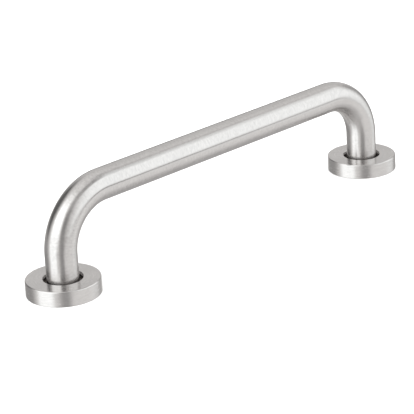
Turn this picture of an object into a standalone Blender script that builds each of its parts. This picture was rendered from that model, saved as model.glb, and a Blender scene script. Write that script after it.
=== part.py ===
"""Grab rail with concealed fixings, in metres, +Z up.

A bent tube ends on two flanges that are screwed to the deck through a gasket. A loose cover rose
hides each flange: it lifts up the leg with the O-ring that holds it, and it turns about the leg.
The origin is midway between the two bases, on the deck's surface. +X runs along the bar.
"""

import math

import bpy

# Driving dimensions of the rail
CENTRES = 0.300  # between the axes of the two legs
BAR_DIAMETER = 0.022
BAR_WALL = 0.0015
BAR_HEIGHT = 0.065  # of the bar's axis above the deck
BEND_RADIUS = 0.038  # of the tube's axis
COVER_DIAMETER = 0.051
COVER_HEIGHT = 0.0108
COVER_HOLE_DIAMETER = 0.0272

# Fixings under each cover
FIT_GAP = 0.0003  # left between touching pieces
GASKET_THICKNESS = 0.0015
GASKET_DIAMETER = 0.044
FLANGE_DIAMETER = 0.0454
FLANGE_THICKNESS = 0.003
SPIGOT_HEIGHT = 0.007
WELD_LEG = 0.002
SCREW_COUNT = 3
SCREW_CIRCLE_DIAMETER = 0.0354
SCREW_LENGTH = 0.025
SCREW_THREAD_DIAMETER = 0.0042
SCREW_CORE_DIAMETER = 0.0031
SCREW_HEAD_DIAMETER = 0.0078
SCREW_PITCH = 0.0014
SCREW_HOLE_DIAMETER = 0.0048

# Cover and its O-ring
COVER_SKIRT_WALL = 0.0019
COVER_TOP_THICKNESS = 0.002
COVER_EDGE_ROUND = 0.0008
COVER_HOLE_CHAMFER = 0.0003
O_RING_SECTION = 0.0015

# Facets
TUBE_SIDES = 28
BEND_STEPS = 9
TURNED_STEPS = 44
O_RING_SIDES = 6
SCREW_STEPS = 8

# Heights and radii that follow from them
BAR_RADIUS = BAR_DIAMETER / 2
FLANGE_BOTTOM = GASKET_THICKNESS + FIT_GAP
FLANGE_TOP = FLANGE_BOTTOM + FLANGE_THICKNESS
FLANGE_MIDDLE = FLANGE_BOTTOM + FLANGE_THICKNESS / 2
TUBE_FOOT = FLANGE_TOP + FIT_GAP
SPIGOT_RADIUS = BAR_RADIUS - BAR_WALL - FIT_GAP
O_RING_RADIUS = FLANGE_DIAMETER / 2 + FIT_GAP + O_RING_SECTION / 2
SCREW_HEAD_TOP = FLANGE_TOP + 0.0001  # the heads stand just proud, clear of their countersinks

# Each finish is a material's name, colour, metallic value and roughness
TUBE_FINISH = ("tube_steel", (0.62, 0.61, 0.60, 1.0), 1.0, 0.28)
COVER_FINISH = ("cover_steel", (0.64, 0.63, 0.62, 1.0), 1.0, 0.30)
FLANGE_FINISH = ("flange_steel", (0.42, 0.41, 0.41, 1.0), 1.0, 0.45)
SCREW_FINISH = ("screw_steel", (0.58, 0.58, 0.58, 1.0), 1.0, 0.30)
GASKET_FINISH = ("gasket_rubber", (0.02, 0.02, 0.02, 1.0), 0.0, 0.70)
O_RING_FINISH = ("o_ring_rubber", (0.03, 0.03, 0.03, 1.0), 0.0, 0.55)


def clear_scene():
    for obj in list(bpy.data.objects):
        bpy.data.objects.remove(obj)


def make_material(name, colour, metallic, roughness):
    material = bpy.data.materials.get(name)
    if material is None:
        material = bpy.data.materials.new(name)
        material.use_nodes = True
        shader = material.node_tree.nodes["Principled BSDF"]
        shader.inputs["Base Color"].default_value = colour
        shader.inputs["Metallic"].default_value = metallic
        shader.inputs["Roughness"].default_value = roughness
    return material


def make_collection(name):
    collection = bpy.data.collections.new(name)
    bpy.context.scene.collection.children.link(collection)
    return collection


def add_object(name, data, collection, finish=None, parent=None, location=(0, 0, 0), turn=0.0):
    obj = bpy.data.objects.new(name, data)
    collection.objects.link(obj)
    obj.parent = parent
    obj.location = location
    obj.rotation_euler.z = turn
    if finish and not data.materials:
        data.materials.append(make_material(*finish))
    return obj


def make_cutter(name, data, collection, parent=None, location=(0, 0, 0), turn=0.0):
    cutter = add_object(name, data, collection, None, parent, location, turn)
    cutter.hide_render = True
    cutter.display_type = "WIRE"
    return cutter


def profile_mesh(name, profile, closed):
    """The outline of a turned piece in the XZ plane. Its outer side runs from top to bottom."""
    last = len(profile)
    edges = [(i, (i + 1) % last) for i in range(last if closed else last - 1)]
    mesh = bpy.data.meshes.new(name)
    mesh.from_pydata([(radius, 0, height) for radius, height in profile], edges, [])
    return mesh


def turn_profile(obj, steps):
    screw = obj.modifiers.new("Turn", "SCREW")
    screw.axis = "Z"
    screw.angle = 2 * math.pi
    screw.steps = steps
    screw.render_steps = steps
    screw.use_merge_vertices = True
    screw.merge_threshold = 1e-6
    screw.use_smooth_shade = True


def cut(obj, cutter):
    boolean = obj.modifiers.new("Cut " + cutter.name, "BOOLEAN")
    boolean.operation = "DIFFERENCE"
    boolean.solver = "EXACT"
    boolean.object = cutter


def curve_to_mesh(curve_obj):
    """Turns a curve object into a mesh with welded caps, and removes the curve."""
    graph = bpy.context.evaluated_depsgraph_get()
    mesh = bpy.data.meshes.new_from_object(curve_obj.evaluated_get(graph))
    mesh.name = curve_obj.name
    bpy.data.objects.remove(curve_obj)
    return mesh


def shade_smooth(mesh, sharp_angle=math.radians(35)):
    mesh.shade_smooth()
    mesh.set_sharp_from_angle(angle=sharp_angle)


def arc(centre, radius, start, end, steps):
    """Points on an arc in a plane. The angles are in degrees from the first axis."""
    angles = [math.radians(start + (end - start) * i / steps) for i in range(steps + 1)]
    return [(centre[0] + radius * math.cos(a), centre[1] + radius * math.sin(a)) for a in angles]


def screw_places():
    """The fixing screws' places about the leg's axis. The first is on the outboard side."""
    radius = SCREW_CIRCLE_DIAMETER / 2
    angles = [2 * math.pi * i / SCREW_COUNT for i in range(SCREW_COUNT)]
    return [(radius * math.cos(a), radius * math.sin(a)) for a in angles]


def tube_axis():
    """The tube's axis in the XZ plane, from the left foot over the bar to the right foot."""
    leg = CENTRES / 2
    bend_x = leg - BEND_RADIUS
    bend_z = BAR_HEIGHT - BEND_RADIUS
    left_bend = arc((-bend_x, bend_z), BEND_RADIUS, 180, 90, BEND_STEPS)
    right_bend = arc((bend_x, bend_z), BEND_RADIUS, 90, 0, BEND_STEPS)
    return [(-leg, TUBE_FOOT), *left_bend, *right_bend, (leg, TUBE_FOOT)]


def build_rail_tube(collection):
    curve = bpy.data.curves.new("rail_tube_axis", "CURVE")
    curve.dimensions = "3D"
    curve.bevel_depth = BAR_RADIUS
    curve.bevel_resolution = TUBE_SIDES // 2 - 2
    spline = curve.splines.new("POLY")
    axis = tube_axis()
    spline.points.add(len(axis) - 1)
    for point, (x, z) in zip(spline.points, axis):
        point.co = (x, 0, z, 1)
    mesh = curve_to_mesh(add_object("rail_tube_axis", curve, collection))
    shade_smooth(mesh)
    tube = add_object("rail_tube", mesh, collection, TUBE_FINISH)
    wall = tube.modifiers.new("Wall", "SOLIDIFY")
    wall.thickness = BAR_WALL
    wall.offset = -1
    wall.use_even_offset = True
    return tube


def gasket_mesh():
    radius = GASKET_DIAMETER / 2
    outline = [(0, GASKET_THICKNESS), (radius, GASKET_THICKNESS), (radius, 0), (0, 0)]
    return profile_mesh("deck_gasket", outline, closed=False)


def flange_mesh():
    """A disc with a spigot for the tube and a concave weld fillet round the tube's foot."""
    chamfer = 0.001
    edge = FLANGE_DIAMETER / 2
    fillet_foot = BAR_RADIUS + FIT_GAP
    centre = (fillet_foot + WELD_LEG, FLANGE_TOP + WELD_LEG)
    spigot_top = FLANGE_TOP + SPIGOT_HEIGHT
    outline = [
        (0, spigot_top),
        (SPIGOT_RADIUS - chamfer, spigot_top),
        (SPIGOT_RADIUS, spigot_top - chamfer),
        (SPIGOT_RADIUS, FLANGE_TOP),
        (fillet_foot, FLANGE_TOP),
        *arc(centre, WELD_LEG, 180, 270, 3),
        (edge - chamfer / 2, FLANGE_TOP),
        (edge, FLANGE_TOP - chamfer / 2),
        (edge, FLANGE_BOTTOM),
        (0, FLANGE_BOTTOM),
    ]
    return profile_mesh("mounting_flange", outline, closed=False)


def o_ring_mesh():
    section = arc((O_RING_RADIUS, FLANGE_MIDDLE), O_RING_SECTION / 2, 360, 0, O_RING_SIDES)
    return profile_mesh("retaining_o_ring", section[:-1], closed=True)


def cover_mesh():
    """A turned cap with a hole for the leg and a groove for the O-ring inside its skirt."""
    outer = COVER_DIAMETER / 2
    skirt = outer - COVER_SKIRT_WALL
    hole = COVER_HOLE_DIAMETER / 2
    ceiling = COVER_HEIGHT - COVER_TOP_THICKNESS
    groove = O_RING_RADIUS + O_RING_SECTION / 2 + FIT_GAP
    groove_half = O_RING_SECTION / 2 + FIT_GAP
    rounding = (outer - COVER_EDGE_ROUND, COVER_HEIGHT - COVER_EDGE_ROUND)
    outline = [
        (hole, COVER_HEIGHT - COVER_HOLE_CHAMFER),
        (hole + COVER_HOLE_CHAMFER, COVER_HEIGHT),
        *arc(rounding, COVER_EDGE_ROUND, 90, 0, 3),
        (outer, 0),
        (skirt, 0),
        (skirt, FLANGE_MIDDLE - groove_half),
        (groove, FLANGE_MIDDLE - groove_half),
        (groove, FLANGE_MIDDLE + groove_half),
        (skirt, FLANGE_MIDDLE + groove_half),
        (skirt, ceiling),
        (hole, ceiling),
    ]
    return profile_mesh("cover_rose", outline, closed=True)


def screw_mesh():
    """A countersunk self-tapping screw. Its thread is drawn as one ridge for each pitch."""
    head = SCREW_HEAD_DIAMETER / 2
    core = SCREW_CORE_DIAMETER / 2
    crest = SCREW_THREAD_DIAMETER / 2
    rim = 0.0003
    point_length = 0.004
    neck = SCREW_HEAD_TOP - rim - (head - core)
    tip = SCREW_HEAD_TOP - SCREW_LENGTH
    outline = [(0, SCREW_HEAD_TOP), (head, SCREW_HEAD_TOP), (head, SCREW_HEAD_TOP - rim), (core, neck)]
    height = neck - SCREW_PITCH / 2
    while height - SCREW_PITCH / 2 > tip + point_length:
        outline.append((core, height + SCREW_PITCH * 0.3))
        outline.append((crest, height))
        outline.append((core, height - SCREW_PITCH * 0.3))
        height -= SCREW_PITCH
    outline.append((core, tip + point_length))
    outline.append((0, tip))
    return profile_mesh("fixing_screw", outline, closed=False)


def recess_mesh(collection):
    """The cross recess of a screw's head, as an extruded plus sign about the origin."""
    arm = 0.0021
    half_width = 0.0005
    depth = 0.0014
    quarter = [(half_width, half_width), (half_width, arm), (-half_width, arm)]
    turns = [(1, 0), (0, 1), (-1, 0), (0, -1)]
    curve = bpy.data.curves.new("recess_outline", "CURVE")
    curve.dimensions = "2D"
    curve.fill_mode = "BOTH"
    curve.extrude = depth
    spline = curve.splines.new("POLY")
    spline.use_cyclic_u = True
    spline.points.add(len(turns) * len(quarter) - 1)
    points = [(c * x - s * y, s * x + c * y) for c, s in turns for x, y in quarter]
    for point, (x, y) in zip(spline.points, points):
        point.co = (x, y, 0, 1)
    return curve_to_mesh(add_object("recess_outline", curve, collection))


def countersink_mesh():
    """The tool that cuts one screw's hole and countersink out of the flange."""
    hole = SCREW_HOLE_DIAMETER / 2
    mouth = SCREW_HEAD_DIAMETER / 2 + FIT_GAP
    overrun = 0.001
    outline = [
        (0, FLANGE_TOP + overrun),
        (mouth, FLANGE_TOP + overrun),
        (mouth, FLANGE_TOP - FIT_GAP),
        (hole, FLANGE_TOP - FIT_GAP - (mouth - hole)),
        (hole, -overrun),
        (0, -overrun),
    ]
    return profile_mesh("countersink", outline, closed=False)


def build_base(side, sign, shared, parts, cutters):
    """One end of the rail below the tube: gasket, flange, screws, O-ring and cover rose."""
    base = bpy.data.objects.new(side + "_base", None)
    parts.objects.link(base)
    base.location.x = sign * CENTRES / 2
    base.rotation_euler.z = 0.0 if sign > 0 else math.pi
    gasket = add_object(side + "_deck_gasket", shared["gasket"], parts, GASKET_FINISH, base)
    flange = add_object(side + "_mounting_flange", shared["flange"], parts, FLANGE_FINISH, base)
    o_ring = add_object(side + "_retaining_o_ring", shared["o_ring"], parts, O_RING_FINISH, base)
    cover = add_object(side + "_cover_rose", shared["cover"], parts, COVER_FINISH, base)
    for turned in (gasket, flange, o_ring, cover):
        turn_profile(turned, TURNED_STEPS)
    for number, (x, y) in enumerate(screw_places(), start=1):
        place = (x, y, 0)
        hole_name = f"{side}_countersink_{number}"
        countersink = make_cutter(hole_name, shared["countersink"], cutters, base, place)
        turn_profile(countersink, 2 * SCREW_STEPS)
        cut(gasket, countersink)
        cut(flange, countersink)
        screw = add_object(f"{side}_fixing_screw_{number}", shared["screw"], parts, SCREW_FINISH, base, place)
        turn_profile(screw, SCREW_STEPS)
        recess_name = f"{side}_recess_{number}"
        recess_turn = math.radians(25 * number)
        recess = make_cutter(recess_name, shared["recess"], cutters, base, (x, y, SCREW_HEAD_TOP), recess_turn)
        cut(screw, recess)


def main():
    clear_scene()
    parts = make_collection("grab_rail")
    cutters = make_collection("cutters")
    build_rail_tube(parts)
    shared = {
        "gasket": gasket_mesh(),
        "flange": flange_mesh(),
        "o_ring": o_ring_mesh(),
        "cover": cover_mesh(),
        "screw": screw_mesh(),
        "countersink": countersink_mesh(),
        "recess": recess_mesh(cutters),
    }
    build_base("left", -1, shared, parts, cutters)
    build_base("right", 1, shared, parts, cutters)


main()
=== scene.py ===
"""The grab rail's fine surfaces, materials, studio and camera, in metres, +Z up.

Every piece stands for one CAD node and sits where that node's box says. The weld beads are extra.
"""

import math

import bmesh
import bpy
from mathutils import Matrix, Vector


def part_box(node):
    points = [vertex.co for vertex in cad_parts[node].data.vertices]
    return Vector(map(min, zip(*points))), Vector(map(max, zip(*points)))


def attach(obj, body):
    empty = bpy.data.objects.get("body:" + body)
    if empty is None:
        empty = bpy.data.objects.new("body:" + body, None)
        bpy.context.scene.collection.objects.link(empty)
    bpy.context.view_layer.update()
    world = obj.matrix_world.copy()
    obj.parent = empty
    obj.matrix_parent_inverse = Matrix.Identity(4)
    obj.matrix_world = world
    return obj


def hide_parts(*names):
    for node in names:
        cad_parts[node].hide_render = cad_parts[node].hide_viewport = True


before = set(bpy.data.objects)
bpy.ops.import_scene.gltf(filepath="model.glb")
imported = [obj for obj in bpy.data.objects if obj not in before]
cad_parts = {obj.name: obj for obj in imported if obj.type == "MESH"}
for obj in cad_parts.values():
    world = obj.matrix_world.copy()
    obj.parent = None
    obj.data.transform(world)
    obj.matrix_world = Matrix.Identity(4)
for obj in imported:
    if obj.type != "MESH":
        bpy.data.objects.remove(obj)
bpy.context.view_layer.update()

# Sizes read from the boxes of the CAD nodes in model.glb
tube_low, tube_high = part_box("rail_tube")
cover_low, cover_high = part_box("right_cover_rose")
flange_low, flange_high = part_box("right_mounting_flange")
gasket_low, gasket_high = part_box("right_deck_gasket")
ring_low, ring_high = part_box("right_retaining_o_ring")
screw_low, screw_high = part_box("right_fixing_screw_1")

BAR_RADIUS = (tube_high.y - tube_low.y) / 2
BAR_HEIGHT = tube_high.z - BAR_RADIUS
LEG_X = tube_high.x - BAR_RADIUS
TUBE_FOOT = tube_low.z
COVER_RADIUS = (cover_high.x - cover_low.x) / 2
COVER_HEIGHT = cover_high.z
FLANGE_RADIUS = (flange_high.x - flange_low.x) / 2
FLANGE_BOTTOM = flange_low.z
SPIGOT_TOP = flange_high.z
GASKET_RADIUS = (gasket_high.x - gasket_low.x) / 2
GASKET_TOP = gasket_high.z
RING_RADIUS = (ring_high.x - ring_low.x) / 2
SCREW_X = (screw_low.x + screw_high.x) / 2 - LEG_X
SCREW_TOP = screw_high.z
SCREW_TIP = screw_low.z
SCREW_HEAD_RADIUS = (screw_high.x - screw_low.x) / 2

# Sizes that no box gives
BEND_RADIUS = 0.038  # of the tube's axis
BAR_WALL = 0.0015
TOUCH_GAP = 0.0003
COVER_HOLE_RADIUS = 0.0136
COVER_SKIRT_WALL = 0.0019
COVER_TOP_THICKNESS = 0.002
COVER_EDGE_ROUND = 0.0008
COVER_HOLE_ROUND = 0.0004
FLANGE_THICKNESS = 0.003
FLANGE_TOP = FLANGE_BOTTOM + FLANGE_THICKNESS
FLANGE_MIDDLE = FLANGE_BOTTOM + FLANGE_THICKNESS / 2
RING_SECTION = 0.0015
SCREW_COUNT = 3
SCREW_HOLE_RADIUS = 0.0024
SCREW_CORE_RADIUS = 0.00155
SCREW_CREST_RADIUS = 0.0021
SCREW_PITCH = 0.0014
SCREW_HEAD_RIM = 0.0003
SCREW_HEAD_EDGE = 0.0001
SCREW_POINT = 0.005
GASKET_EDGE = 0.0002
CAP_RADIUS = 0.0005  # of the small flat that closes a turned piece on its axis

# Depths of the surfaces' texture
SATIN_DEPTH = 0.000004
MILL_DEPTH = 0.00003
SCREW_DEPTH = 0.000005
RUBBER_DEPTH = 0.00005

# Facets
AROUND_TUBE = 128
AROUND_COVER = 192
AROUND_SCREW = 48
BEND_STEPS = 56

# Studio
FLOOR_HALF = 6.0
FLOOR_DROP = 0.0001  # keeps the gaskets' undersides off the floor

# Camera
CAMERA_AZIMUTH = math.radians(-43.85)
CAMERA_ELEVATION = math.radians(21.06)
CAMERA_ROLL = math.radians(-3.17)
CAMERA_DISTANCE = 1.427
CAMERA_TARGET = Vector((-0.0147, 0, 0.0186))
CAMERA_LENS = 176.7  # mm, on a sensor 36 mm wide


# ---------------------------------------------------------------- mesh tools

def circle(radius, height, count):
    """Points of a level circle about the Z axis."""
    angles = [2 * math.pi * i / count for i in range(count)]
    return [Vector((radius * math.cos(a), radius * math.sin(a), height)) for a in angles]


def arc(centre, radius, start, end, steps):
    """Points on an arc in a plane. The angles are in degrees from the first axis."""
    angles = [math.radians(start + (end - start) * i / steps) for i in range(steps + 1)]
    return [(centre[0] + radius * math.cos(a), centre[1] + radius * math.sin(a)) for a in angles]


def skin(name, rings, closed=False):
    """A closed mesh over rings of equally many points. It caps its ends, or joins them if closed."""
    count = len(rings[0])
    mesh = bmesh.new()
    rows = [[mesh.verts.new(point) for point in ring] for ring in rings]
    pairs = list(zip(rows, rows[1:]))
    if closed:
        pairs.append((rows[-1], rows[0]))
    for lower, upper in pairs:
        for i in range(count):
            j = (i + 1) % count
            mesh.faces.new((lower[i], lower[j], upper[j], upper[i]))
    if not closed:
        mesh.faces.new(rows[0])
        mesh.faces.new(rows[-1])
    bmesh.ops.recalc_face_normals(mesh, faces=mesh.faces)
    data = bpy.data.meshes.new(name)
    mesh.to_mesh(data)
    mesh.free()
    return data


def turn(name, outline, count, closed=False):
    """A solid of revolution from an outline of (radius, height) points."""
    return skin(name, [circle(radius, height, count) for radius, height in outline], closed)


def finish_mesh(data, sharp_angle=40):
    data.shade_smooth()
    data.set_sharp_from_angle(angle=math.radians(sharp_angle))


def add_object(name, data, location=(0, 0, 0), turned=0.0):
    obj = bpy.data.objects.new(name, data)
    obj.matrix_world = Matrix.Translation(location) @ Matrix.Rotation(turned, 4, "Z")
    bpy.context.scene.collection.objects.link(obj)
    return obj


def smooth_flats(obj):
    """Flat faces keep their own normals right up to their rounded edges."""
    weighted = obj.modifiers.new("Even normals", "WEIGHTED_NORMAL")
    weighted.weight = 100
    weighted.keep_sharp = True


def cut(obj, cutter_mesh, location):
    """Takes a cutter's shape out of an object for good."""
    cutter = add_object("cutter", cutter_mesh, obj.matrix_world @ Vector(location))
    boolean = obj.modifiers.new("Cut", "BOOLEAN")
    boolean.operation = "DIFFERENCE"
    boolean.solver = "EXACT"
    boolean.object = cutter
    graph = bpy.context.evaluated_depsgraph_get()
    result = bpy.data.meshes.new_from_object(obj.evaluated_get(graph))
    obj.modifiers.remove(boolean)
    obj.data = result
    bpy.data.objects.remove(cutter)


def take_over(obj, body, node):
    """The piece moves with a body and stands for a CAD node, whose own mesh it hides."""
    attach(obj, body)
    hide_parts(node)


# ---------------------------------------------------------------- shader tools

class Tree:
    """A short way to write one material's or world's nodes."""

    def __init__(self, tree):
        self.nodes = tree.nodes
        self.links = tree.links

    def put(self, socket, value):
        if isinstance(value, bpy.types.NodeSocket):
            self.links.new(value, socket)
        else:
            socket.default_value = value

    def math(self, operation, a, b=0.0):
        node = self.nodes.new("ShaderNodeMath")
        node.operation = operation
        self.put(node.inputs[0], a)
        self.put(node.inputs[1], b)
        return node.outputs[0]

    def vector(self, operation, a, b=(0, 0, 0)):
        node = self.nodes.new("ShaderNodeVectorMath")
        node.operation = operation
        self.put(node.inputs[0], a)
        self.put(node.inputs[1], b)
        return node.outputs[0]

    def length(self, a):
        node = self.nodes.new("ShaderNodeVectorMath")
        node.operation = "LENGTH"
        self.put(node.inputs[0], a)
        return node.outputs["Value"]

    def split(self, a):
        node = self.nodes.new("ShaderNodeSeparateXYZ")
        self.put(node.inputs[0], a)
        return node.outputs

    def join(self, x, y, z):
        node = self.nodes.new("ShaderNodeCombineXYZ")
        for socket, value in zip(node.inputs, (x, y, z)):
            self.put(socket, value)
        return node.outputs[0]

    def remap(self, value, low, high, out_low=0.0, out_high=1.0):
        """A soft step from one value to another as the input goes from low to high."""
        node = self.nodes.new("ShaderNodeMapRange")
        node.interpolation_type = "SMOOTHSTEP"
        node.inputs["From Min"].default_value = low
        node.inputs["From Max"].default_value = high
        node.inputs["To Min"].default_value = out_low
        node.inputs["To Max"].default_value = out_high
        self.put(node.inputs["Value"], value)
        return node.outputs["Result"]

    def mix(self, factor, a, b):
        node = self.nodes.new("ShaderNodeMix")
        node.data_type = "RGBA"
        self.put(node.inputs["Factor"], factor)
        self.put(node.inputs[6], a)
        self.put(node.inputs[7], b)
        return node.outputs[2]

    def noise(self, vector, scale, detail=2.0, roughness=0.5):
        node = self.nodes.new("ShaderNodeTexNoise")
        node.inputs["Scale"].default_value = scale
        node.inputs["Detail"].default_value = detail
        node.inputs["Roughness"].default_value = roughness
        self.put(node.inputs["Vector"], vector)
        return node.outputs["Fac"]

    def bump(self, height, distance):
        node = self.nodes.new("ShaderNodeBump")
        node.inputs["Distance"].default_value = distance
        node.inputs["Strength"].default_value = 1.0
        self.put(node.inputs["Height"], height)
        return node.outputs["Normal"]


def new_material(name, metallic):
    material = bpy.data.materials.new(name)
    material.use_nodes = True
    tree = Tree(material.node_tree)
    shader = material.node_tree.nodes["Principled BSDF"]
    shader.inputs["Metallic"].default_value = metallic
    return material, tree, shader


def object_place(tree):
    return tree.nodes.new("ShaderNodeTexCoord").outputs["Object"]


def attribute_place(tree, name):
    node = tree.nodes.new("ShaderNodeAttribute")
    node.attribute_name = name
    return node.outputs["Vector"]


def tube_place(tree):
    """Seamless coordinates on the tube: round its axis in X and Y, along it in Z."""
    return attribute_place(tree, "grain")


def to_world(tree, direction):
    node = tree.nodes.new("ShaderNodeVectorTransform")
    node.vector_type = "VECTOR"
    node.convert_from = "OBJECT"
    node.convert_to = "WORLD"
    tree.put(node.inputs[0], direction)
    return node.outputs[0]


def tube_run(tree):
    """The direction of the tube's axis, which its polishing lines cross."""
    return to_world(tree, attribute_place(tree, "run"))


def turned_run(tree):
    """The direction along a turned piece's outline, which its turning lines cross."""
    x, y, z = tree.split(object_place(tree))
    round_axis = to_world(tree, tree.join(tree.math("MULTIPLY", y, -1.0), x, 0.0))
    normal = tree.nodes.new("ShaderNodeNewGeometry").outputs["Normal"]
    return tree.vector("NORMALIZE", tree.vector("CROSS_PRODUCT", normal, round_axis))


def turned_place(tree):
    """Seamless coordinates on a turned piece: round its axis in X and Y, along its outline in Z."""
    x, y, z = tree.split(object_place(tree))
    radius = tree.length(tree.join(x, y, 0.0))
    safe = tree.math("MAXIMUM", radius, 0.0001)
    along = tree.math("SUBTRACT", radius, z)
    return tree.join(tree.math("DIVIDE", x, safe), tree.math("DIVIDE", y, safe), along)


def axis_distance(tree):
    x, y, z = tree.split(object_place(tree))
    return tree.length(tree.join(x, y, 0.0))


def brushed(tree, place, around, along):
    """Streaks that run round the piece. The numbers are streaks per turn and lines per metre."""
    return tree.vector("MULTIPLY", place, (around, around, along))


# ---------------------------------------------------------------- materials

def satin_steel(name, place_of, run_of, tint, roughness, anisotropy, contrast, patch_scale):
    """Satin stainless steel: fine lines round the piece and soft patches in its tone and gloss."""
    material, tree, shader = new_material(name, 1.0)
    shader.inputs["Anisotropic"].default_value = anisotropy
    tree.put(shader.inputs["Tangent"], run_of(tree))
    place = place_of(tree)
    surface = object_place(tree)
    fine = tree.noise(brushed(tree, place, 5, 4500), 1.0, 3.0, 0.6)
    coarse = tree.noise(brushed(tree, place, 4, 1300), 1.0, 3.0, 0.6)
    patches = tree.noise(surface, patch_scale, 3.0, 0.55)
    grain = tree.math("ADD", tree.math("MULTIPLY", fine, 0.45), tree.math("MULTIPLY", coarse, 0.55))
    dark = tuple(c * (1 - contrast) for c in tint) + (1.0,)
    light = tuple(c * (1 + contrast) for c in tint) + (1.0,)
    tone = tree.math("ADD", tree.math("MULTIPLY", grain, 0.8), tree.math("MULTIPLY", patches, 0.2))
    tree.put(shader.inputs["Base Color"], tree.mix(tree.remap(tone, 0.36, 0.64), dark, light))
    lines_gloss = tree.remap(grain, 0.3, 0.7, roughness - 0.03, roughness + 0.03)
    patch_gloss = tree.remap(patches, 0.3, 0.7, -0.02, 0.02)
    tree.put(shader.inputs["Roughness"], tree.math("ADD", lines_gloss, patch_gloss))
    tree.put(shader.inputs["Normal"], tree.bump(grain, SATIN_DEPTH))
    return material


def tube_finish(name):
    return satin_steel(name, tube_place, tube_run, (0.66, 0.645, 0.635), 0.19, 1.0, 0.085, 60)


def cover_finish(name):
    """Satin outside. Inside, where no wheel reaches, a matt grey skin is left."""
    material = satin_steel(name, turned_place, turned_run, (0.67, 0.655, 0.645), 0.24, 0.85, 0.06, 90)
    tree = Tree(material.node_tree)
    shader = material.node_tree.nodes["Principled BSDF"]
    surface = object_place(tree)
    below = tree.math("LESS_THAN", tree.split(surface)[2], COVER_HEIGHT - COVER_HOLE_ROUND)
    within = tree.math("LESS_THAN", axis_distance(tree), COVER_RADIUS - COVER_SKIRT_WALL / 2)
    inside = tree.math("MULTIPLY", below, within)
    polished = shader.inputs["Base Color"].links[0].from_socket
    gloss = shader.inputs["Roughness"].links[0].from_socket
    mottle = tree.noise(surface, 700, 3.0, 0.6)
    skin_tone = tree.mix(mottle, (0.60, 0.57, 0.555, 1), (0.72, 0.69, 0.675, 1))
    tree.put(shader.inputs["Base Color"], tree.mix(inside, polished, skin_tone))
    tree.put(shader.inputs["Roughness"], tree.math("ADD", gloss, tree.math("MULTIPLY", inside, 0.35)))
    tree.put(shader.inputs["Metallic"], tree.math("SUBTRACT", 1.0, tree.math("MULTIPLY", inside, 0.8)))
    return material


def mill_steel(name):
    """The flange's unpolished steel, with the weld's heat colours round the tube's foot."""
    material, tree, shader = new_material(name, 0.5)
    radius = axis_distance(tree)
    surface = object_place(tree)
    mottle = tree.noise(surface, 900, 4.0, 0.65)
    rolled = tree.noise(tree.vector("MULTIPLY", surface, (120, 5000, 120)), 1.0, 2.0, 0.5)
    plain = tree.mix(mottle, (0.48, 0.47, 0.463, 1), (0.60, 0.59, 0.582, 1))
    wander = tree.math("ADD", radius, tree.remap(tree.noise(surface, 250), 0.3, 0.7, -0.0006, 0.0006))
    straw = tree.mix(tree.remap(wander, 0.0150, 0.0185), (0.51, 0.46, 0.39, 1), plain)
    violet = tree.mix(tree.remap(wander, 0.0138, 0.0152), (0.41, 0.395, 0.415, 1), straw)
    tree.put(shader.inputs["Base Color"], violet)
    tree.put(shader.inputs["Roughness"], tree.remap(mottle, 0.25, 0.75, 0.36, 0.56))
    height = tree.math("ADD", tree.math("MULTIPLY", mottle, 0.6), tree.math("MULTIPLY", rolled, 0.4))
    tree.put(shader.inputs["Normal"], tree.bump(height, MILL_DEPTH))
    return material


def screw_steel(name):
    """Cold-formed stainless: slightly mottled, with fine turned lines."""
    material, tree, shader = new_material(name, 1.0)
    surface = object_place(tree)
    lines = tree.noise(brushed(tree, turned_place(tree), 1.5, 9000), 1.0, 2.0, 0.5)
    mottle = tree.noise(surface, 1400, 3.0, 0.6)
    tone = tree.mix(mottle, (0.46, 0.455, 0.45, 1), (0.62, 0.615, 0.61, 1))
    tree.put(shader.inputs["Base Color"], tone)
    tree.put(shader.inputs["Roughness"], tree.remap(mottle, 0.25, 0.75, 0.22, 0.38))
    height = tree.math("ADD", tree.math("MULTIPLY", lines, 0.5), tree.math("MULTIPLY", mottle, 0.5))
    tree.put(shader.inputs["Normal"], tree.bump(height, SCREW_DEPTH))
    return material


def rubber(name, roughness, speckle_scale):
    """Black rubber with a faint grey bloom and a moulded skin."""
    material, tree, shader = new_material(name, 0.0)
    surface = object_place(tree)
    speckle = tree.noise(surface, speckle_scale, 4.0, 0.7)
    bloom = tree.noise(surface, 160, 3.0, 0.5)
    shade = tree.math("MULTIPLY", speckle, bloom)
    black = tree.mix(tree.remap(shade, 0.15, 0.4), (0.010, 0.010, 0.011, 1), (0.035, 0.035, 0.036, 1))
    tree.put(shader.inputs["Base Color"], black)
    tree.put(shader.inputs["Roughness"], tree.remap(bloom, 0.3, 0.7, roughness - 0.08, roughness + 0.08))
    tree.put(shader.inputs["Normal"], tree.bump(speckle, RUBBER_DEPTH))
    return material


def pale_floor(name):
    """Matt white, very slightly clouded."""
    material, tree, shader = new_material(name, 0.0)
    cloud = tree.noise(object_place(tree), 3.0, 3.0, 0.5)
    tree.put(shader.inputs["Base Color"], tree.mix(cloud, (0.86, 0.86, 0.86, 1), (0.88, 0.88, 0.88, 1)))
    tree.put(shader.inputs["Roughness"], tree.remap(cloud, 0.3, 0.7, 0.75, 0.85))
    shader.inputs["Specular IOR Level"].default_value = 0.0
    return material


# ---------------------------------------------------------------- pieces

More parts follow.
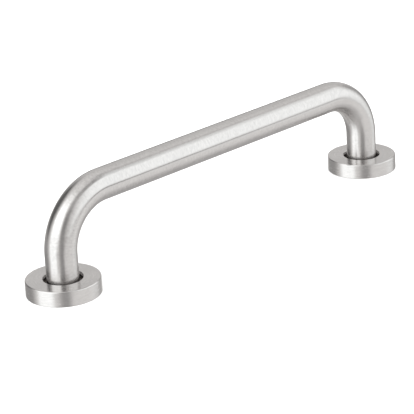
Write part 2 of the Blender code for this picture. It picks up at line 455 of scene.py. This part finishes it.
def tube_stations():
    """Places along the tube's axis, from the left foot to the right: point, inward side and length."""
    bend_x = LEG_X - BEND_RADIUS
    bend_z = BAR_HEIGHT - BEND_RADIUS
    stations = [(Vector((-LEG_X, 0, TUBE_FOOT)), Vector((-1, 0, 0)))]
    for i in range(BEND_STEPS + 1):
        angle = math.pi - math.pi / 2 * i / BEND_STEPS
        side = Vector((math.cos(angle), 0, math.sin(angle)))
        stations.append((Vector((-bend_x, 0, bend_z)) + side * BEND_RADIUS, side))
    for i in range(BEND_STEPS + 1):
        angle = math.pi / 2 - math.pi / 2 * i / BEND_STEPS
        side = Vector((math.cos(angle), 0, math.sin(angle)))
        stations.append((Vector((bend_x, 0, bend_z)) + side * BEND_RADIUS, side))
    stations.append((Vector((LEG_X, 0, TUBE_FOOT)), Vector((1, 0, 0))))
    lengths = [0.0]
    for (a, _), (b, _) in zip(stations, stations[1:]):
        lengths.append(lengths[-1] + (b - a).length)
    return [(point, side, length) for (point, side), length in zip(stations, lengths)]


def build_tube(material):
    across = Vector((0, 1, 0))
    angles = [2 * math.pi * i / AROUND_TUBE for i in range(AROUND_TUBE)]
    spokes = [(math.cos(a), math.sin(a)) for a in angles]
    stations = tube_stations()
    rings = []
    grain = []
    run = []
    for radius, order in ((BAR_RADIUS, stations), (BAR_RADIUS - BAR_WALL, stations[::-1])):
        for point, side, length in order:
            rings.append([point + (side * c + across * s) * radius for c, s in spokes])
            grain += [value for c, s in spokes for value in (c, s, length)]
            run += [value for _ in spokes for value in across.cross(side)]
    data = skin("rail_tube_fine", rings, closed=True)
    for name, values in (("grain", grain), ("run", run)):
        attribute = data.attributes.new(name, "FLOAT_VECTOR", "POINT")
        attribute.data.foreach_set("vector", values)
    finish_mesh(data)
    data.materials.append(material)
    tube = add_object("tube", data)
    take_over(tube, "rail", "rail_tube")


def cover_outline():
    skirt = COVER_RADIUS - COVER_SKIRT_WALL
    ceiling = COVER_HEIGHT - COVER_TOP_THICKNESS
    foot_round = 0.0003
    groove = RING_RADIUS + TOUCH_GAP
    groove_half = RING_SECTION / 2 + TOUCH_GAP
    edge = (COVER_RADIUS - COVER_EDGE_ROUND, COVER_HEIGHT - COVER_EDGE_ROUND)
    foot = (COVER_RADIUS - foot_round, foot_round)
    mouth = (COVER_HOLE_RADIUS + COVER_HOLE_ROUND, COVER_HEIGHT - COVER_HOLE_ROUND)
    return [
        (COVER_HOLE_RADIUS, ceiling),
        *arc(mouth, COVER_HOLE_ROUND, 180, 90, 6),
        *arc(edge, COVER_EDGE_ROUND, 90, 0, 10),
        *arc(foot, foot_round, 0, -90, 4),
        (skirt + foot_round, 0),
        (skirt, foot_round),
        (skirt, FLANGE_MIDDLE - groove_half),
        (groove, FLANGE_MIDDLE - groove_half),
        (groove, FLANGE_MIDDLE + groove_half),
        (skirt, FLANGE_MIDDLE + groove_half),
        (skirt, ceiling),
    ]


def flange_outline():
    spigot = BAR_RADIUS - BAR_WALL - TOUCH_GAP
    chamfer = 0.001
    edge = 0.0004
    return [
        (CAP_RADIUS, SPIGOT_TOP),
        (spigot - chamfer, SPIGOT_TOP),
        (spigot, SPIGOT_TOP - chamfer),
        (spigot, FLANGE_TOP),
        (FLANGE_RADIUS - edge, FLANGE_TOP),
        *arc((FLANGE_RADIUS - edge, FLANGE_TOP - edge), edge, 90, 0, 4),
        *arc((FLANGE_RADIUS - edge, FLANGE_BOTTOM + edge), edge, 0, -90, 4),
        (CAP_RADIUS, FLANGE_BOTTOM),
    ]


def gasket_outline():
    return [
        (CAP_RADIUS, GASKET_TOP),
        (GASKET_RADIUS - GASKET_EDGE, GASKET_TOP),
        (GASKET_RADIUS, GASKET_TOP - GASKET_EDGE),
        (GASKET_RADIUS, GASKET_EDGE),
        (GASKET_RADIUS - GASKET_EDGE, 0),
        (CAP_RADIUS, 0),
    ]


def ring_outline():
    centre = (RING_RADIUS - RING_SECTION / 2, FLANGE_MIDDLE)
    return arc(centre, RING_SECTION / 2, 360, 0, 20)[:-1]


def weld_mesh():
    """A concave fillet weld with the overlapping ripples of its run, in a closed ring."""
    inner = BAR_RADIUS + TOUCH_GAP / 3
    leg = 0.002
    hollow = 0.00035
    ripples = 58
    ripple_height = 0.00010
    around = ripples * 8
    section_steps = 8
    rings = []
    for i in range(around):
        angle = 2 * math.pi * i / around
        phase = ripples * angle
        radial = Vector((math.cos(angle), math.sin(angle), 0))
        ring = [
            radial * inner + Vector((0, 0, FLANGE_TOP)),
            radial * inner + Vector((0, 0, FLANGE_TOP + leg)),
        ]
        for k in range(1, section_steps):
            share = k / section_steps
            crest = math.sin(math.pi * share)
            ripple = ripple_height * crest * math.sin(phase + 2.2 * crest)
            bow = hollow * crest
            out = leg * share + ripple - bow
            up = leg * (1 - share) + ripple - bow
            ring.append(radial * (inner + out) + Vector((0, 0, FLANGE_TOP + up)))
        ring.append(radial * (inner + leg) + Vector((0, 0, FLANGE_TOP)))
        rings.append(ring)
    return skin("weld_bead", rings, closed=True)


def screw_rings():
    """A countersunk head over a core whose thread is one true helix that runs out at both ends."""
    neck = SCREW_TOP - SCREW_HEAD_RIM - (SCREW_HEAD_RADIUS - SCREW_CORE_RADIUS)
    cap_radius = 0.0004
    tip_radius = 0.00002
    rings = [
        circle(cap_radius, SCREW_TOP, AROUND_SCREW),
        circle(SCREW_HEAD_RADIUS - SCREW_HEAD_EDGE, SCREW_TOP, AROUND_SCREW),
        circle(SCREW_HEAD_RADIUS, SCREW_TOP - SCREW_HEAD_EDGE, AROUND_SCREW),
        circle(SCREW_HEAD_RADIUS, SCREW_TOP - SCREW_HEAD_RIM, AROUND_SCREW),
    ]
    steps_per_pitch = 10
    steps = round((neck - SCREW_TIP) / SCREW_PITCH * steps_per_pitch)
    for i in range(steps):
        height = neck - (neck - SCREW_TIP) * i / steps
        taper = min(1.0, (height - SCREW_TIP) / SCREW_POINT) ** 0.8
        run_out = min(1.0, (neck - height) / SCREW_PITCH)
        ring = []
        for point in circle(1.0, height, AROUND_SCREW):
            angle = math.atan2(point.y, point.x)
            phase = (height / SCREW_PITCH - angle / (2 * math.pi)) % 1.0
            ridge = max(0.0, 1 - abs(phase - 0.5) / 0.3)
            thread = (SCREW_CREST_RADIUS - SCREW_CORE_RADIUS) * ridge * run_out
            radius = (SCREW_CORE_RADIUS + thread) * taper
            ring.append(Vector((point.x * radius, point.y * radius, height)))
        rings.append(ring)
    rings.append(circle(tip_radius, SCREW_TIP, AROUND_SCREW))
    return rings


def recess_mesh():
    """The tapered cross that is pressed into a screw's head."""
    arm = 0.0021
    half = 0.00046
    depth = 0.0017
    quarter = [(half, half), (half, arm), (-half, arm)]
    turns = [(1, 0), (0, 1), (-1, 0), (0, -1)]
    cross = [(c * x - s * y, s * x + c * y) for c, s in turns for x, y in quarter]
    levels = [(1.08, 0.0004), (1.0, 0.0), (0.42, -depth)]
    rings = [[Vector((x * k, y * k, z)) for x, y in cross] for k, z in levels]
    return skin("recess", rings)


def hole_mesh(mouth, mouth_height):
    """A screw's hole, opening into a countersink."""
    overrun = 0.001
    cone_foot = mouth_height - (mouth - SCREW_HOLE_RADIUS)
    outline = [
        (mouth, FLANGE_TOP + overrun),
        (mouth, mouth_height),
        (SCREW_HOLE_RADIUS, cone_foot),
        (SCREW_HOLE_RADIUS, -overrun),
    ]
    return turn("hole", outline, AROUND_SCREW)


def screw_places():
    """Centres of a base's screws, about the leg."""
    angles = [2 * math.pi * i / SCREW_COUNT for i in range(SCREW_COUNT)]
    return [(SCREW_X * math.cos(a), SCREW_X * math.sin(a), 0) for a in angles]


def build_base(side, sign, meshes):
    foot = Vector((sign * LEG_X, 0, 0))
    facing = 0.0 if sign > 0 else math.pi
    base = Matrix.Translation(foot) @ Matrix.Rotation(facing, 4, "Z")
    cover = add_object(f"{side}_cover", meshes["cover"], foot, facing)
    smooth_flats(cover)
    take_over(cover, f"{side}_cover", f"{side}_cover_rose")
    ring = add_object(f"{side}_ring", meshes["ring"], foot, facing)
    take_over(ring, f"{side}_o_ring", f"{side}_retaining_o_ring")
    flange = add_object(f"{side}_flange", meshes["flange"], foot, facing)
    smooth_flats(flange)
    take_over(flange, "rail", f"{side}_mounting_flange")
    weld = add_object(f"{side}_weld", meshes["weld"], foot, facing)
    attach(weld, "rail")
    gasket = add_object(f"{side}_gasket", meshes["gasket"], foot, facing)
    smooth_flats(gasket)
    take_over(gasket, "rail", f"{side}_deck_gasket")
    for number, place in enumerate(screw_places(), start=1):
        stop = facing + math.radians(25 * number)  # each screw came to rest at its own angle
        screw = add_object(f"{side}_screw_{number}", meshes["screw"], base @ Vector(place), stop)
        take_over(screw, "rail", f"{side}_fixing_screw_{number}")


def drilled(data, hole):
    """The mesh with the three screw holes cut through it."""
    blank = add_object("blank", data)
    for place in screw_places():
        cut(blank, hole, place)
    result = blank.data
    bpy.data.objects.remove(blank)
    return result


def make_screw():
    blank = add_object("blank", skin("screw", screw_rings()))
    cut(blank, recess_mesh(), (0, 0, SCREW_TOP))
    result = blank.data
    bpy.data.objects.remove(blank)
    return result


def make_meshes():
    hole = hole_mesh(SCREW_HEAD_RADIUS + TOUCH_GAP, FLANGE_TOP - TOUCH_GAP)
    return {
        "cover": turn("cover", cover_outline(), AROUND_COVER, closed=True),
        "ring": turn("ring", ring_outline(), AROUND_COVER, closed=True),
        "flange": drilled(turn("flange", flange_outline(), AROUND_COVER), hole),
        "gasket": drilled(turn("gasket", gasket_outline(), AROUND_COVER), hole),
        "weld": weld_mesh(),
        "screw": make_screw(),
    }


def build_pieces():
    meshes = make_meshes()
    flange_steel = mill_steel("flange_steel")
    finishes = {
        "cover": cover_finish("cover_steel"),
        "ring": rubber("o_ring_rubber", 0.45, 2500),
        "flange": flange_steel,
        "gasket": rubber("gasket_rubber", 0.75, 1200),
        "weld": flange_steel,
        "screw": screw_steel("screw_steel"),
    }
    for key, data in meshes.items():
        finish_mesh(data)
        data.materials.append(finishes[key])
    build_tube(tube_finish("tube_steel"))
    for side, sign in (("left", -1), ("right", 1)):
        build_base(side, sign, meshes)


# ---------------------------------------------------------------- studio

def build_floor():
    data = bpy.data.meshes.new("floor")
    grid = bmesh.new()
    bmesh.ops.create_grid(grid, x_segments=8, y_segments=8, size=FLOOR_HALF)
    grid.to_mesh(data)
    grid.free()
    data.materials.append(pale_floor("pale_floor"))
    floor = add_object("floor", data, (0, 0, -FLOOR_DROP))
    floor.visible_glossy = False
    floor.visible_shadow = False


def tinted(radiance):
    """A panel's colour: the lights are a little cooler than the dark cards."""
    tint = (0.972, 0.992, 0.995) if radiance > 1 else (1.0, 0.986, 0.976)
    return tuple(radiance * part for part in tint) + (1.0,)


def panel_mask(tree, x, y, elevation, panel):
    """How much of a soft-edged panel is seen in a direction, from 0 to 1."""
    azimuth, half_width, low, high, soft_sides, soft_edges, _ = panel
    facing = math.radians(azimuth)
    level = tree.math("MAXIMUM", tree.length(tree.join(x, y, 0.0)), 0.0001)
    east = tree.math("MULTIPLY", x, math.cos(facing))
    north = tree.math("MULTIPLY", y, math.sin(facing))
    cosine = tree.math("DIVIDE", tree.math("ADD", east, north), level)
    aside = tree.math("ARCCOSINE", tree.math("MINIMUM", cosine, 1.0))
    angle = tree.math("MULTIPLY", aside, 180 / math.pi)
    sides = tree.remap(angle, half_width - soft_sides, half_width + soft_sides, 1.0, 0.0)
    bottom = tree.remap(elevation, low - soft_edges, low + soft_edges)
    top = tree.remap(elevation, high - soft_edges, high + soft_edges, 1.0, 0.0)
    return tree.math("MULTIPLY", sides, tree.math("MULTIPLY", bottom, top))


def build_world():
    """A soft studio: a pale room with large soft lights and dark cards hung in it."""
    world = bpy.data.worlds.new("studio")
    bpy.context.scene.world = world
    world.use_nodes = True
    tree = Tree(world.node_tree)
    x, y, z = tree.split(tree.nodes.new("ShaderNodeTexCoord").outputs["Generated"])
    elevation = tree.math("MULTIPLY", tree.math("ARCSINE", z), 180 / math.pi)
    room = tree.mix(tree.remap(elevation, -60, -25), (0.64, 0.63, 0.624, 1), (0.82, 0.808, 0.80, 1))
    panels = [
        # azimuth, half width, low, high, soft sides, soft edges, radiance
        (176, 34, 8, 61, 9, 24, 1.95),  # the key light, beyond the left end
        (172, 25, -52, 12, 9, 12, 1.52),  # the key light, down to the floor
        (-76, 44, -42, -12, 18, 8, 0.95),  # fill, low in front
        (-48, 41, -3, 51, 13, 4, 1.37),  # the front light, large, at the right
        (-128, 14, 0, 46, 8, 13, 0.29),  # dark card at the camera
        (-126, 16, -40, 2, 12, 8, 0.40),  # the same card, low
        (99, 26, -6, 48, 14, 12, 0.14),  # dark card behind the rail
        (97, 33, -43, -10, 13, 12, 0.36),  # the same card, low
        (-62, 66, 53, 70, 12, 5, 0.42),  # dark border over the front light
        (-24, 18, 36, 49, 6, 2, 1.43),  # the front light's brighter corner
        (-38, 16, 50.5, 60, 8, 2, 0.36),  # the border's darkest stretch
        (10, 15, -24, 25, 12, 8, 0.36),  # grey card off the right end
        (40, 18, 8, 42, 14, 12, 0.69),  # the wall behind the right end
        (18, 30, -65, -28, 10, 8, 0.50),  # shade on the floor at the right
        (-26, 17, -19, -2, 9, 6, 1.12),  # a light strip under the front light
        (-87, 40, -11, -6.3, 5, 1.6, 0.25),  # thin dark gap under the front light
        (50, 13, -9, 8, 7, 5, 0.25),  # dark card low behind the right end
    ]
    for panel in panels:
        room = tree.mix(panel_mask(tree, x, y, elevation, panel), room, tinted(panel[-1]))
    seen = tree.nodes.new("ShaderNodeLightPath").outputs["Is Camera Ray"]
    background = world.node_tree.nodes["Background"]
    tree.put(background.inputs["Color"], tree.mix(seen, room, (1.0, 1.0, 1.0, 1)))


def build_lights():
    """Broad, even light from above, for the floor and the matt pieces."""
    lamp = bpy.data.lights.new("overhead", "SUN")
    lamp.angle = math.radians(80)
    lamp.energy = 3.5
    overhead = bpy.data.objects.new("overhead", lamp)
    overhead.rotation_euler = (math.radians(12), math.radians(-12), 0)
    overhead.visible_glossy = False
    bpy.context.scene.collection.objects.link(overhead)


def build_camera():
    camera = bpy.data.cameras.new("camera")
    camera.sensor_width = 36
    camera.lens = CAMERA_LENS
    camera.clip_start = 0.05
    camera.clip_end = 50
    level = math.cos(CAMERA_ELEVATION)
    rise = math.sin(CAMERA_ELEVATION)
    back = Vector((math.sin(CAMERA_AZIMUTH) * level, -math.cos(CAMERA_AZIMUTH) * level, rise))
    upright = back.to_track_quat("Z", "Y").to_matrix().to_4x4()
    obj = bpy.data.objects.new("camera", camera)
    place = Matrix.Translation(CAMERA_TARGET + back * CAMERA_DISTANCE)
    obj.matrix_world = place @ upright @ Matrix.Rotation(CAMERA_ROLL, 4, "Z")
    bpy.context.scene.collection.objects.link(obj)
    bpy.context.scene.camera = obj


build_pieces()
build_floor()
build_world()
build_lights()
build_camera()
bpy.context.scene.view_settings.view_transform = "Standard"
